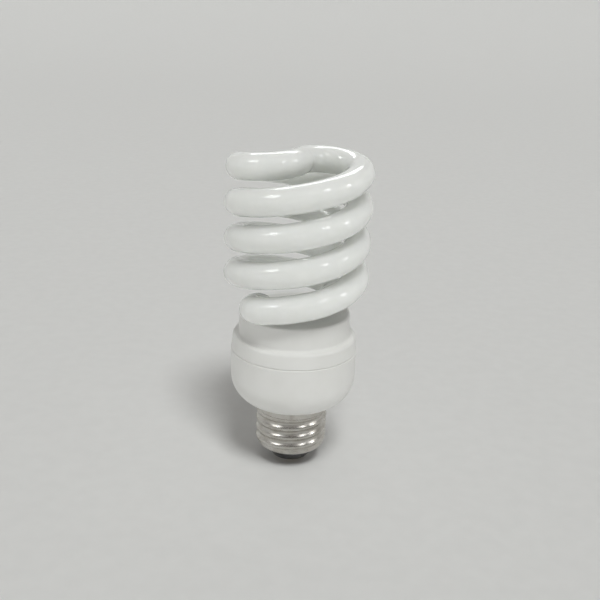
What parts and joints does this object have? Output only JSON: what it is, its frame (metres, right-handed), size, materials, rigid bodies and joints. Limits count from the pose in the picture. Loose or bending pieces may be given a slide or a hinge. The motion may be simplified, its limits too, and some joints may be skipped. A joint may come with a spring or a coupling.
{
  "type": "spiral fluorescent lamp",
  "caption": "Energy saving lamp: a white double spiral glass tube on a round two-part plastic housing with ballast parts inside and a metal screw cap.",
  "frame": {"origin": "on the lamp's axis, at the upper edge of the screw cap's metal shell, where a lampholder ends", "axes": "+Z along the lamp's axis from the cap to the top of the spiral, -Y towards the viewer of the picture"},
  "size_m": [0.051, 0.051, 0.1165],
  "materials": {
    "coated_glass": "gloss, white coating inside",
    "housing_plastic": "satin, moulded",
    "cap_metal": "nickel plated",
    "insulator_glass": "gloss, black",
    "contact_brass": "bright",
    "tin_solder": "dull",
    "board_laminate": "matt",
    "capacitor_sleeve": "gloss",
    "ferrite": "matt",
    "bobbin_plastic": "matt",
    "copper_wire": "enamelled",
    "film_coating": "gloss",
    "thermistor_coating": "matt",
    "resistor_coating": "matt",
    "tinned_wire": "tinned",
    "moulded_black": "matt",
    "diode_glass": "gloss",
    "cement": "matt"
  },
  "bodies": {
    "root": {"bias_resistor_1": "resistor_coating", "bias_resistor_2": "resistor_coating", "bulk_capacitor": "capacitor_sleeve", "cap_insulator": "insulator_glass", "centre_contact": "contact_brass", "choke_bobbin": "bobbin_plastic", "choke_core": "ferrite", "choke_winding": "copper_wire", "circuit_board": "board_laminate", "contact_solder": "tin_solder", "drive_ring": "ferrite", "drive_turn_1": "copper_wire", "drive_turn_2": "copper_wire", "drive_turn_3": "copper_wire", "drive_turn_4": "copper_wire", "drive_turn_5": "copper_wire", "drive_turn_6": "copper_wire", "filament_lead_1": "tinned_wire", "filament_lead_2": "tinned_wire", "filament_lead_3": "tinned_wire", "filament_lead_4": "tinned_wire", "fuse_resistor": "resistor_coating", "lower_housing": "housing_plastic", "neutral_lead": "tinned_wire", "rectifier_diode_1": "moulded_black", "rectifier_diode_2": "moulded_black", "rectifier_diode_3": "moulded_black", "rectifier_diode_4": "moulded_black", "resonant_capacitor": "film_coating", "screw_shell": "cap_metal", "spiral_tube": "coated_glass", "start_capacitor": "film_coating", "thermistor": "thermistor_coating", "transistor_1": "moulded_black", "transistor_2": "moulded_black", "trigger_diode": "diode_glass", "tube_cement_1": "cement", "tube_cement_2": "cement", "tube_holder": "housing_plastic", "wrap_pin_1": "tinned_wire", "wrap_pin_2": "tinned_wire", "wrap_pin_3": "tinned_wire", "wrap_pin_4": "tinned_wire"}
  },
  "joints": []
}
